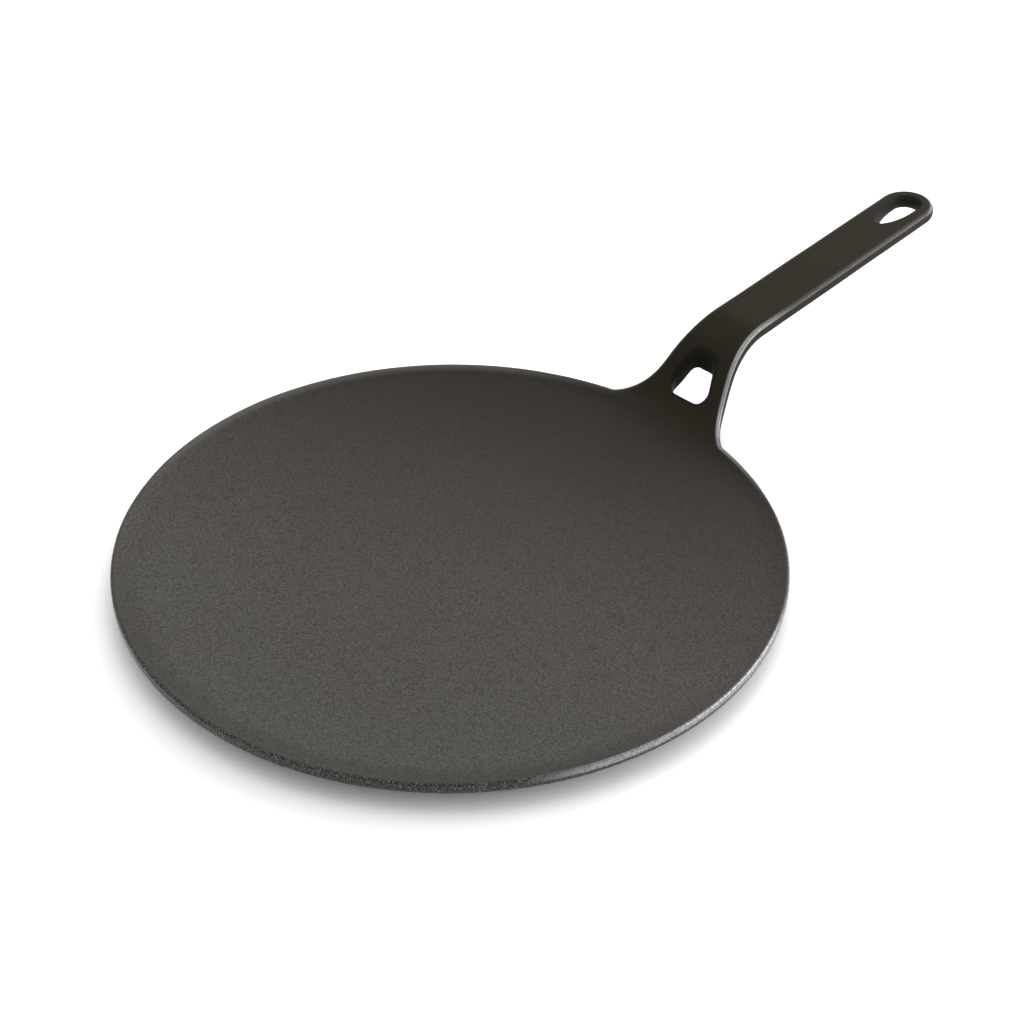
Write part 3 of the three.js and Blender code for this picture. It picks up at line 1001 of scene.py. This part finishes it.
def seasoned_iron():
    """Oil-blackened iron: sandy on the plate, smoother on the handle, with a painted highlight of bright
    grain on one arc of the rim.
    """
    material = bpy.data.materials.new("seasoned_iron")
    material.use_nodes = True
    n = IronNodes(material.node_tree)
    shader = material.node_tree.nodes["Principled BSDF"]
    shader.inputs["Specular IOR Level"].default_value = IRON_SPECULAR
    plate_grain = n.grain(**PLATE_GRAIN)
    rim_grain = n.grain(**RIM_GRAIN)
    handle_grain = n.grain(**HANDLE_GRAIN)
    wear_and_light = handle_wear_and_light(n)
    rim_shine = rim_highlight_arc(n, rim_grain)

    tone = n.mix(n.on_handle, plate_tone(n, plate_grain), handle_tone(n, wear_and_light))
    n.feed(shader.inputs["Base Color"], n.mix(n.on_rim, tone, rim_tone(n, rim_grain, rim_shine)))
    handle_metal = n.math("MAXIMUM", n.times(wear_and_light.worn, WORN_METAL), n.times(wear_and_light.neck, NECK_HIGHLIGHT_METAL))
    # The rim's painted highlight is metallic as well as bright
    n.feed(shader.inputs["Metallic"], n.blend(n.on_rim, handle_metal, n.blend(rim_shine, *RIM_METAL)))
    satin = n.blend(n.on_handle, n.blend(n.warm, *PLATE_ROUGHNESS), n.blend(n.warm, *HANDLE_ROUGHNESS))
    roughness = n.blend(wear_and_light.rough, satin, SIDE_ROUGHNESS)
    n.feed(shader.inputs["Roughness"], n.blend(n.on_rim, roughness, RIM_ROUGHNESS))

    handle_height = n.times(handle_grain["Height"], n.blend(wear_and_light.worn, *HANDLE_GRAIN_HEIGHT))
    height = n.blend(n.on_handle, plate_grain["Height"], handle_height)
    bump = n.add("ShaderNodeBump")
    bump.inputs["Strength"].default_value = BUMP_STRENGTH
    bump.inputs["Distance"].default_value = BUMP_DISTANCE
    n.feed(bump.inputs["Height"], n.blend(n.on_rim, height, n.times(rim_grain["Height"], RIM_GRAIN_HEIGHT)))
    n.feed(shader.inputs["Normal"], bump.outputs[0])
    return material


# Stage: azimuths and places are given as the camera sees the plate, X right and Y away.

HANDLE_TURN = math.radians(43.7)
PAPER_WHITE = 0.85
PAPER_LIFT = 0.42
FLOOR_HALF = 4
FLOOR_LEVEL = -0.0002
BACKDROP_STRENGTH = 0.68

# Camera fitted to the photo's rim, in radians and metres
LENS = 70.3125
SENSOR_WIDTH = 36.0
CLIP_START = 0.01
CAMERA_YAW = 0.03794
CAMERA_PITCH = 0.64474
CAMERA_ROLL = 0.01555
CAMERA_BACK = 0.609316
CAMERA_ABOVE_RIM = 0.474300
RIM_CIRCLE_DROP = 0.35  # millimetres from the crest down to the circle that was fitted


def from_photo(x, y, z):
    """A point or direction in the camera's frame, turned into the casting's frame."""
    c, s = math.cos(HANDLE_TURN), math.sin(HANDLE_TURN)
    return Vector((x * c + y * s, -x * s + y * c, z))


def floor_paper():
    """White paper that keeps its shadows; the camera and reflections see it brighter than it lights."""
    material = bpy.data.materials.new("floor_paper")
    material.use_nodes = True
    n = Nodes(material.node_tree)
    material.node_tree.nodes.remove(material.node_tree.nodes["Principled BSDF"])
    path = n.add("ShaderNodeLightPath").outputs
    mirrored = n.math("MAXIMUM", path["Is Glossy Ray"], path["Is Transmission Ray"])
    seen = n.math("MAXIMUM", path["Is Camera Ray"], mirrored)
    paper = n.add("ShaderNodeBsdfDiffuse")
    n.feed(paper.inputs["Color"], n.math("ADD", PAPER_WHITE, n.times(seen, PAPER_LIFT)))
    n.feed(material.node_tree.nodes["Material Output"].inputs["Surface"], paper.outputs[0])
    return material


def make_floor():
    corners = [(-1, -1), (1, -1), (1, 1), (-1, 1)]
    mesh = bpy.data.meshes.new("floor")
    mesh.from_pydata([(x * FLOOR_HALF, y * FLOOR_HALF, FLOOR_LEVEL) for x, y in corners], [], [(0, 1, 2, 3)])
    floor = bpy.data.objects.new("floor", mesh)
    bpy.context.scene.collection.objects.link(floor)
    mesh.materials.append(floor_paper())


def make_lamp(name, azimuth, elevation, distance, size, radiance):
    """Soft box facing the plate, placed by its direction in the camera's frame."""
    lamp = bpy.data.lights.new(name, "AREA")
    lamp.shape = "RECTANGLE"
    lamp.size, lamp.size_y = size
    lamp.energy = radiance * math.pi * size[0] * size[1]
    a, e = math.radians(azimuth), math.radians(elevation)
    way = from_photo(math.cos(a) * math.cos(e), math.sin(a) * math.cos(e), math.sin(e))
    box = bpy.data.objects.new(name, lamp)
    box.location = way * distance
    box.rotation_euler = way.to_track_quat("Z", "Y").to_euler()
    bpy.context.scene.collection.objects.link(box)
    return box


def make_light():
    world = bpy.data.worlds.new("studio")
    world.use_nodes = True
    backdrop = world.node_tree.nodes["Background"]
    backdrop.inputs["Color"].default_value = (1, 1, 1, 1)
    backdrop.inputs["Strength"].default_value = BACKDROP_STRENGTH
    bpy.context.scene.world = world
    back = make_lamp("back_box", azimuth=80, elevation=34, distance=1.5, size=(1.3, 1.5), radiance=1.3)
    back.visible_glossy = False
    make_lamp("top_box", azimuth=90, elevation=86, distance=1.2, size=(0.8, 0.7), radiance=1.3)
    make_lamp("right_box", azimuth=22, elevation=13, distance=1.2, size=(2.0, 0.40), radiance=6.0)


def camera_axes():
    """Right, up and backward directions of the camera, in the casting's frame."""
    level = math.cos(CAMERA_PITCH)
    ahead = Vector((math.sin(CAMERA_YAW) * level, math.cos(CAMERA_YAW) * level, -math.sin(CAMERA_PITCH)))
    flat_right = Vector((math.cos(CAMERA_YAW), -math.sin(CAMERA_YAW), 0.0))
    flat_up = flat_right.cross(ahead)
    right = flat_right * math.cos(CAMERA_ROLL) + flat_up * math.sin(CAMERA_ROLL)
    up = flat_up * math.cos(CAMERA_ROLL) - flat_right * math.sin(CAMERA_ROLL)
    return [from_photo(*v) for v in (right, up, -ahead)]


def make_camera():
    camera = bpy.data.cameras.new("camera")
    camera.lens = LENS
    camera.sensor_width = SENSOR_WIDTH
    camera.clip_start = CLIP_START
    holder = bpy.data.objects.new("camera", camera)
    rim = upper_profile()[RIM_KNOT]
    place = from_photo(0.0, -CAMERA_BACK, CAMERA_ABOVE_RIM + (rim.height - RIM_CIRCLE_DROP) * MM)
    holder.matrix_world = Matrix.Translation(place) @ Matrix(camera_axes()).transposed().to_4x4()
    bpy.context.scene.collection.objects.link(holder)
    bpy.context.scene.camera = holder


make_camera()
make_light()
make_floor()
casting = make_casting(seasoned_iron())
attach(casting, "root")
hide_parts("griddle_plate", "handle")

bpy.context.scene.view_settings.view_transform = "Standard"
